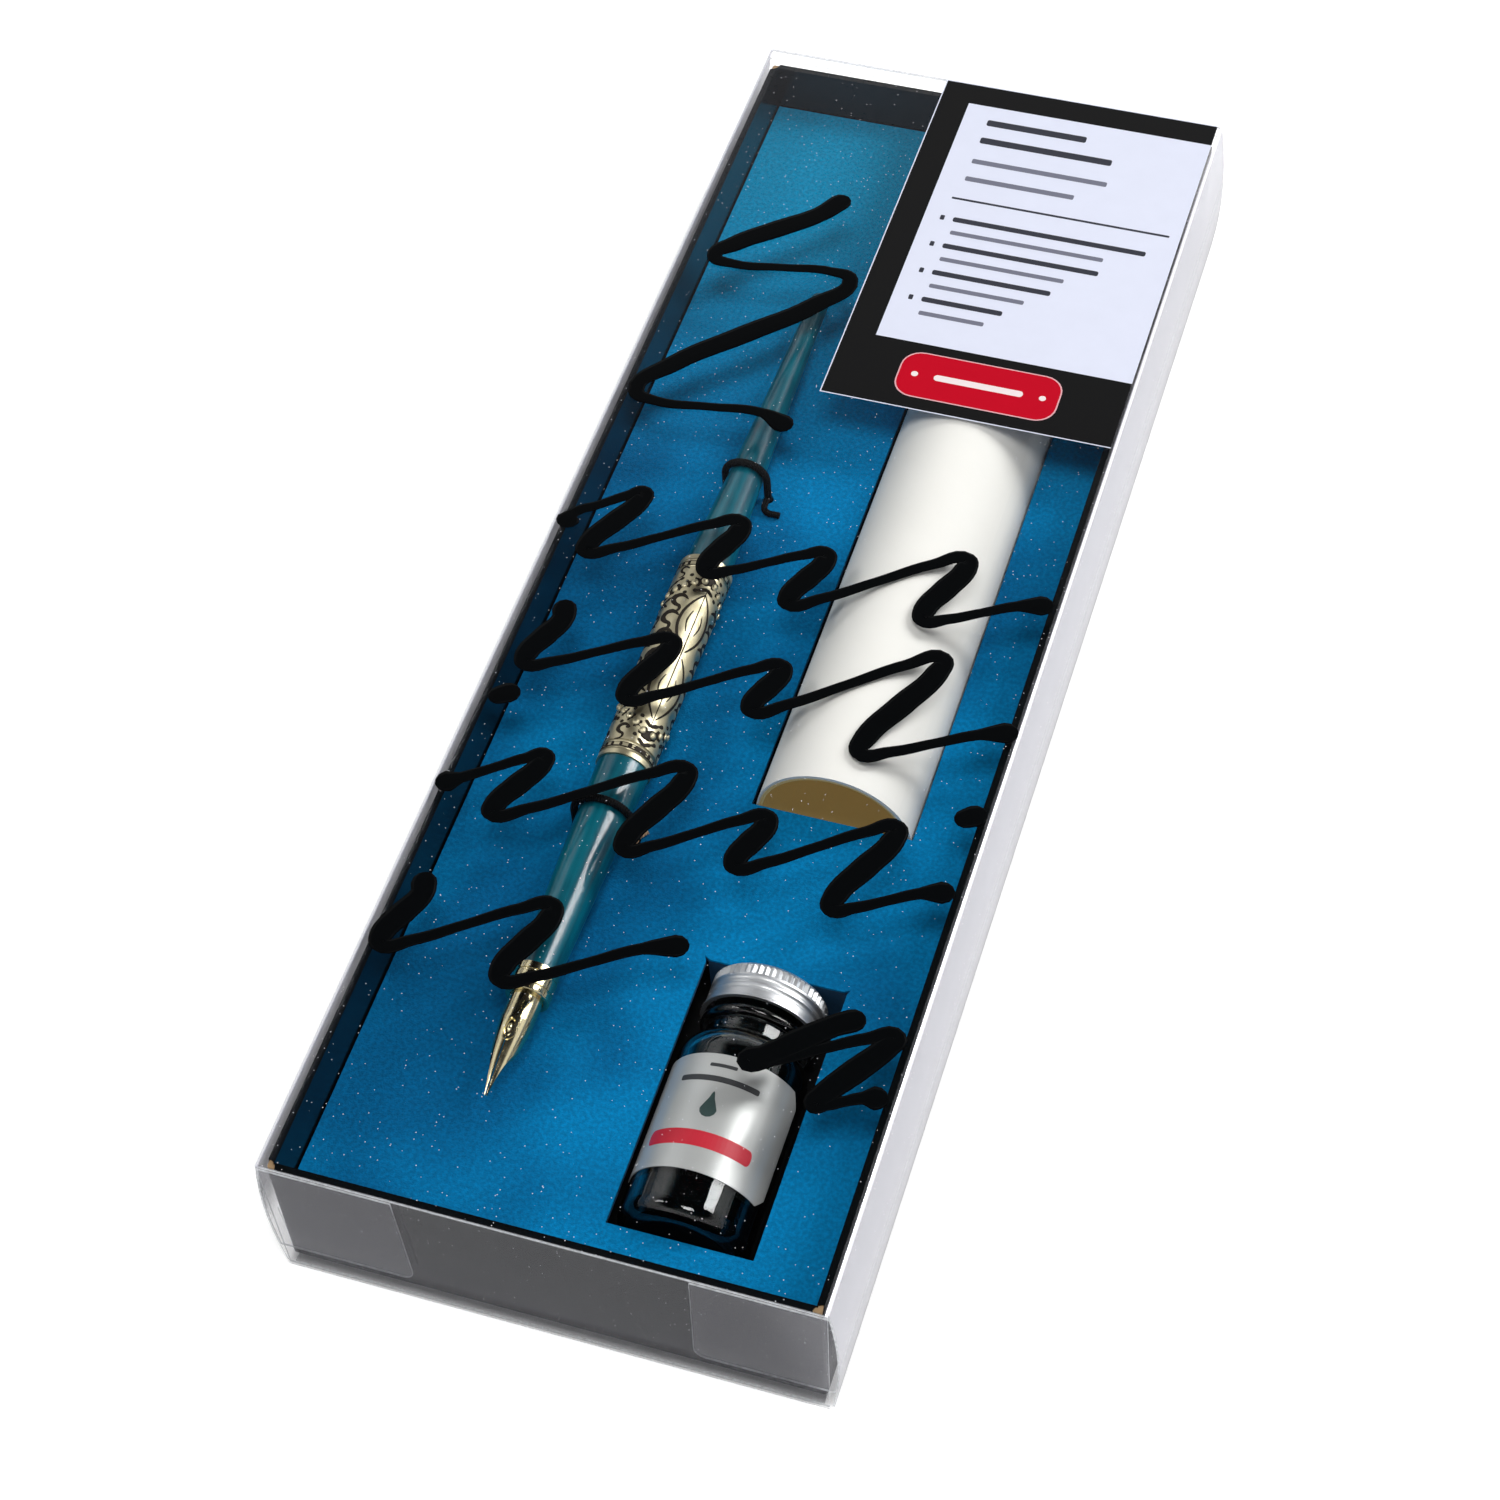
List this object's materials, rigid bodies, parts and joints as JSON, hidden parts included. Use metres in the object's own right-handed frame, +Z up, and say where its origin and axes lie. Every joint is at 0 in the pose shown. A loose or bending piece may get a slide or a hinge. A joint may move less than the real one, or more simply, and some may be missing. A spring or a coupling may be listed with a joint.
{
  "type": "calligraphy set box",
  "caption": "Clear tuck-end carton holding a black tray with a flocked platform that carries a dip pen, a roll of paper and a small ink bottle.",
  "frame": {"origin": "centre of the carton's underside", "axes": "+Y along the carton towards the bottle cap's and roll's far end, +X across it with the roll and bottle on the +X side, +Z up through the window"},
  "size_m": [0.0904, 0.254, 0.0301],
  "materials": {
    "clear_film": "clear gloss film",
    "label_print": "coated paper, black border",
    "booklet": "matt",
    "staple": "bright wire",
    "greyboard": "raw board",
    "black_paper": "satin black",
    "blue_card": "matt",
    "blue_flock": "velvet flock",
    "teal_lacquer": "stained and lacquered",
    "antique_brass": "engraved, darkened recesses",
    "ferrule_metal": "polished",
    "nib_metal": "polished gilt",
    "claw_steel": "plain",
    "black_cord": "wound black cord",
    "cream_paper": "matt, rolled",
    "bottle_glass": "clear glass over dark ink",
    "ink_liquid": "dark liquid",
    "cap_aluminium": "spun, satin",
    "liner_foam": "foam disc",
    "bottle_label_paper": "silvered paper"
  },
  "bodies": {
    "carton": {"clear_sleeve": "clear_film", "window_label": "label_print", "booklet_cover": "booklet", "booklet_pages": "booklet", "booklet_staples": "staple"},
    "near_flap": {"near_end_flap": "clear_film"},
    "near_tongue": {"near_tuck_tongue": "clear_film"},
    "near_dust_left": {"near_dust_flap_left": "clear_film"},
    "near_dust_right": {"near_dust_flap_right": "clear_film"},
    "far_flap": {"far_end_flap": "clear_film"},
    "far_tongue": {"far_tuck_tongue": "clear_film"},
    "far_dust_left": {"far_dust_flap_left": "clear_film"},
    "far_dust_right": {"far_dust_flap_right": "clear_film"},
    "tray": {"tray_board": "greyboard", "tray_wrap": "black_paper", "platform_board": "blue_card", "platform_flocking": "blue_flock", "pen_handle_front": "teal_lacquer", "pen_handle_rear": "teal_lacquer", "brass_sleeve": "antique_brass", "ferrule": "ferrule_metal", "nib_claw": "claw_steel", "pen_tie_upper": "black_cord", "pen_tie_lower": "black_cord", "paper_roll": "cream_paper"},
    "nib": {"nib": "nib_metal"},
    "bottle": {"ink_bottle": "bottle_glass", "ink": "ink_liquid", "bottle_label": "bottle_label_paper"},
    "cap_liner": {"cap_liner": "liner_foam"},
    "bottle_cap": {"bottle_cap": "cap_aluminium"}
  },
  "joints": [
    {"name": "near_flap_hinge", "type": "hinge", "parent": "carton", "child": "near_flap", "pos_m": [0, -0.127, 0.03], "axis": [-1, 0, 0], "range_deg": [0, 120]},
    {"name": "near_tongue_crease", "type": "hinge", "parent": "near_flap", "child": "near_tongue", "pos_m": [0, -0.1267, 0.00095], "axis": [1, 0, 0], "range_deg": [0, 80]},
    {"name": "near_dust_left_crease", "type": "hinge", "parent": "carton", "child": "near_dust_left", "pos_m": [-0.045, -0.1266, 0.0165], "axis": [0, 0, -1], "range_deg": [0, 10]},
    {"name": "near_dust_right_crease", "type": "hinge", "parent": "carton", "child": "near_dust_right", "pos_m": [0.045, -0.1266, 0.0165], "axis": [0, 0, 1], "range_deg": [0, 10]},
    {"name": "far_flap_hinge", "type": "hinge", "parent": "carton", "child": "far_flap", "pos_m": [0, 0.127, 0.03], "axis": [1, 0, 0], "range_deg": [0, 120]},
    {"name": "far_tongue_crease", "type": "hinge", "parent": "far_flap", "child": "far_tongue", "pos_m": [0, 0.1267, 0.00095], "axis": [-1, 0, 0], "range_deg": [0, 80]},
    {"name": "far_dust_left_crease", "type": "hinge", "parent": "carton", "child": "far_dust_left", "pos_m": [-0.045, 0.1266, 0.0165], "axis": [0, 0, 1], "range_deg": [0, 10]},
    {"name": "far_dust_right_crease", "type": "hinge", "parent": "carton", "child": "far_dust_right", "pos_m": [0.045, 0.1266, 0.0165], "axis": [0, 0, -1], "range_deg": [0, 10]},
    {"name": "tray_slide", "type": "slide", "parent": "carton", "child": "tray", "axis": [0, 1, 0], "range_m": [-0.0006, 0]},
    {"name": "nib_pull", "type": "slide", "parent": "tray", "child": "nib", "axis": [0, -1, 0], "range_m": [0, 0.012]},
    {"name": "bottle_lift", "type": "slide", "parent": "tray", "child": "bottle", "axis": [0, 0, 1], "range_m": [0, 0.0055]},
    {"name": "cap_rise", "type": "slide", "parent": "bottle", "child": "cap_liner", "axis": [0, 1, 0], "range_m": [0, 0.00075]},
    {"name": "cap_turn", "type": "hinge", "parent": "cap_liner", "child": "bottle_cap", "pos_m": [0.0165, -0.074, 0.0132], "axis": [0, 1, 0], "range_deg": [0, 90]}
  ],
  "couplings": [
    {"joint": "near_tongue_crease", "follows": "near_flap_hinge", "ratio": 0.65},
    {"joint": "near_dust_left_crease", "follows": "near_flap_hinge", "ratio": 0.075},
    {"joint": "near_dust_right_crease", "follows": "near_flap_hinge", "ratio": 0.075},
    {"joint": "far_tongue_crease", "follows": "far_flap_hinge", "ratio": 0.65},
    {"joint": "far_dust_left_crease", "follows": "far_flap_hinge", "ratio": 0.075},
    {"joint": "far_dust_right_crease", "follows": "far_flap_hinge", "ratio": 0.075},
    {"joint": "cap_rise", "follows": "cap_turn", "m_per_rad": 0.00047746}
  ]
}
